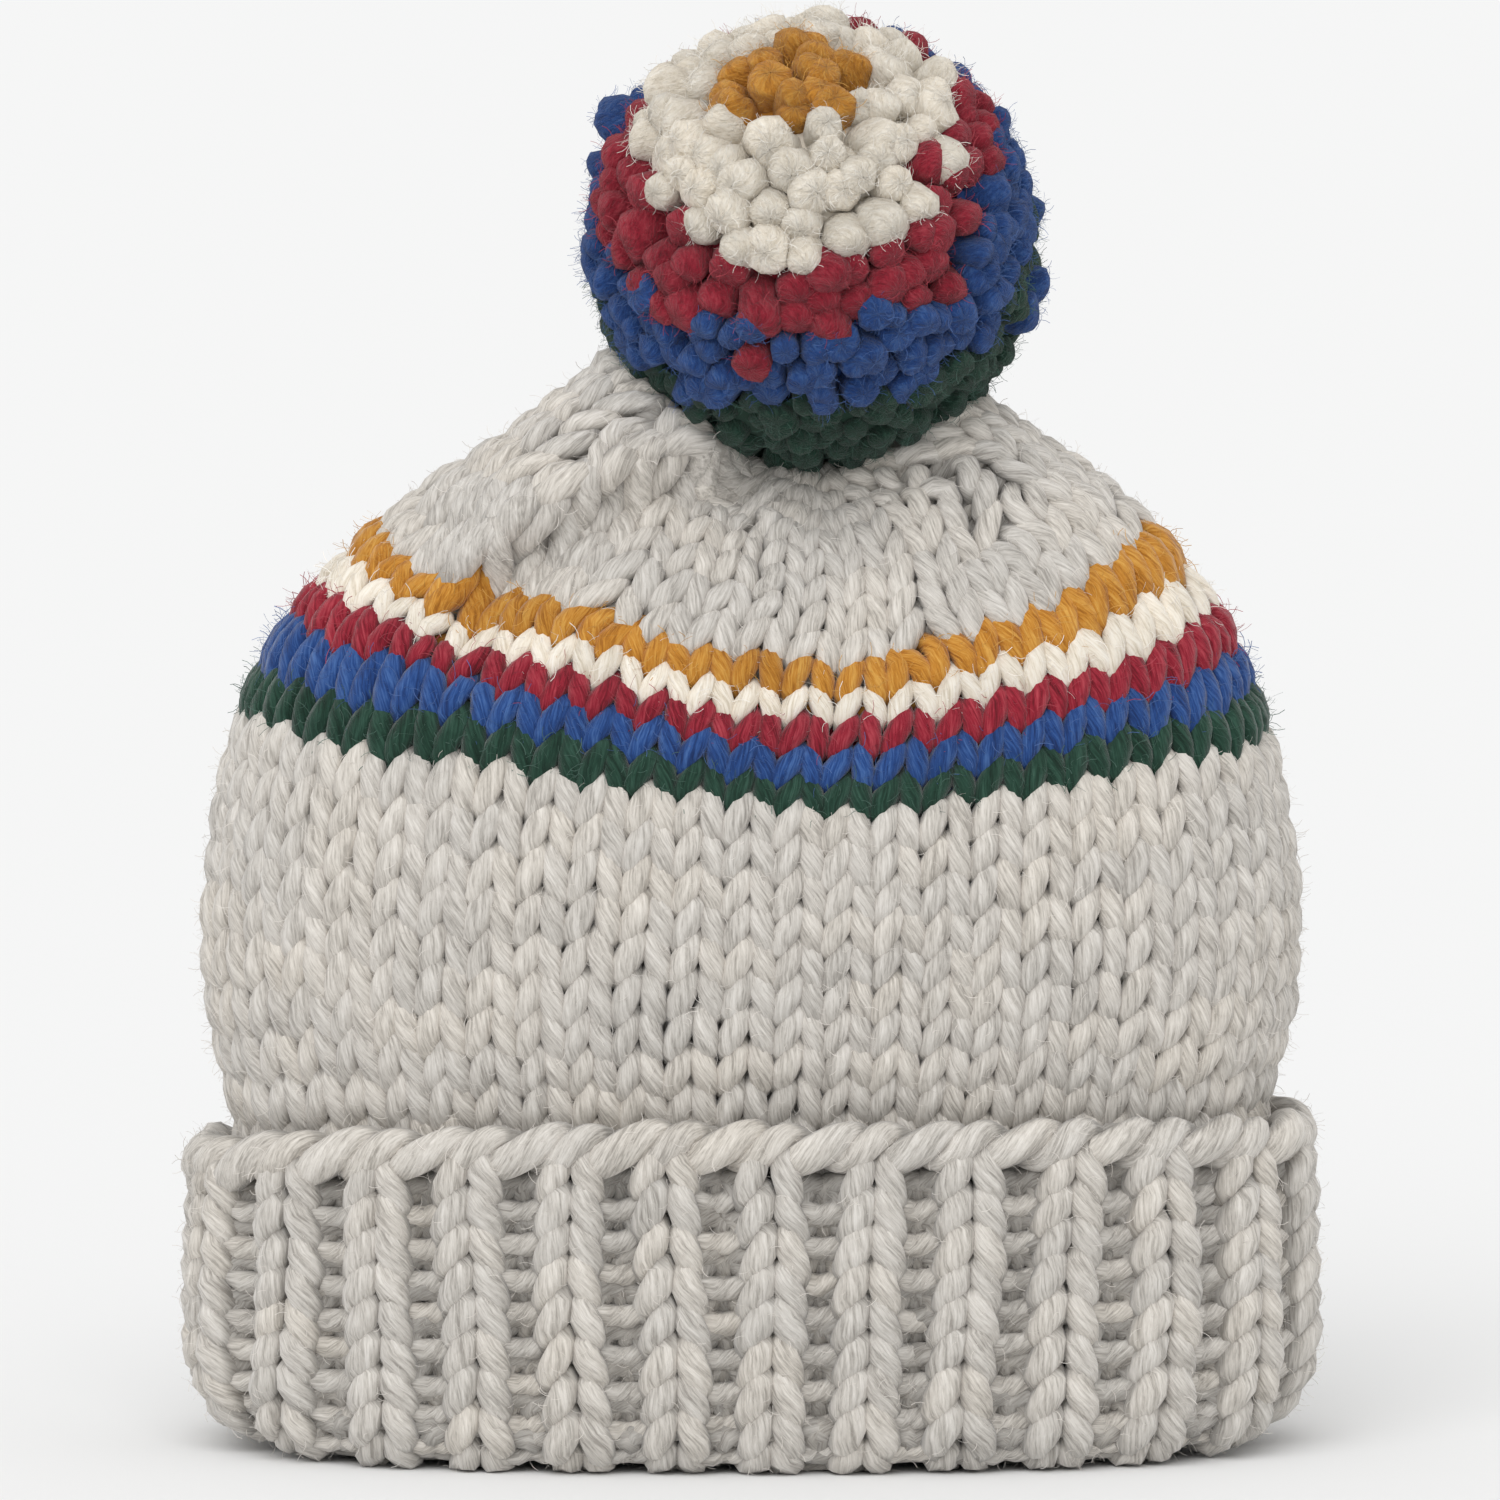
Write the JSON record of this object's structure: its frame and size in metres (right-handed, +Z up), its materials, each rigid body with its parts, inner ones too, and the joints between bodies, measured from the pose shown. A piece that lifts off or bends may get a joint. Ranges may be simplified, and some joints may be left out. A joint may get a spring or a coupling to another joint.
{
  "type": "knitted beanie with pompom",
  "caption": "Chunky hand-knitted beanie with a turned-up rib cuff, narrow colour stripes, a gathered crown and a large multi-colour pompom.",
  "frame": {"origin": "on the surface the hat stands on, under the middle of its bounding box", "axes": "+Z up from the cuff to the pompom, -Y towards the front of the hat, +X to the right as seen from the front"},
  "size_m": [0.2378, 0.1138, 0.3],
  "materials": {
    "grey_wool": "thick heathered light grey wool yarn, soft and slightly hairy",
    "gold_wool": "thick golden ochre wool yarn, soft and hairy",
    "cream_wool": "thick cream wool yarn, soft and puffy",
    "red_wool": "thick deep red wool yarn, soft and hairy",
    "blue_wool": "thick royal blue wool yarn, soft and hairy",
    "green_wool": "thick dark green wool yarn, soft and hairy"
  },
  "bodies": {
    "root": {"cuff": "grey_wool", "body": "grey_wool", "stripe_green": "green_wool", "stripe_blue": "blue_wool", "stripe_red": "red_wool", "stripe_cream": "cream_wool", "stripe_gold": "gold_wool", "crown": "grey_wool", "pompom_core": "grey_wool", "pompom_gold": "gold_wool", "pompom_cream": "cream_wool", "pompom_red": "red_wool", "pompom_blue": "blue_wool", "pompom_green": "green_wool"}
  },
  "joints": []
}
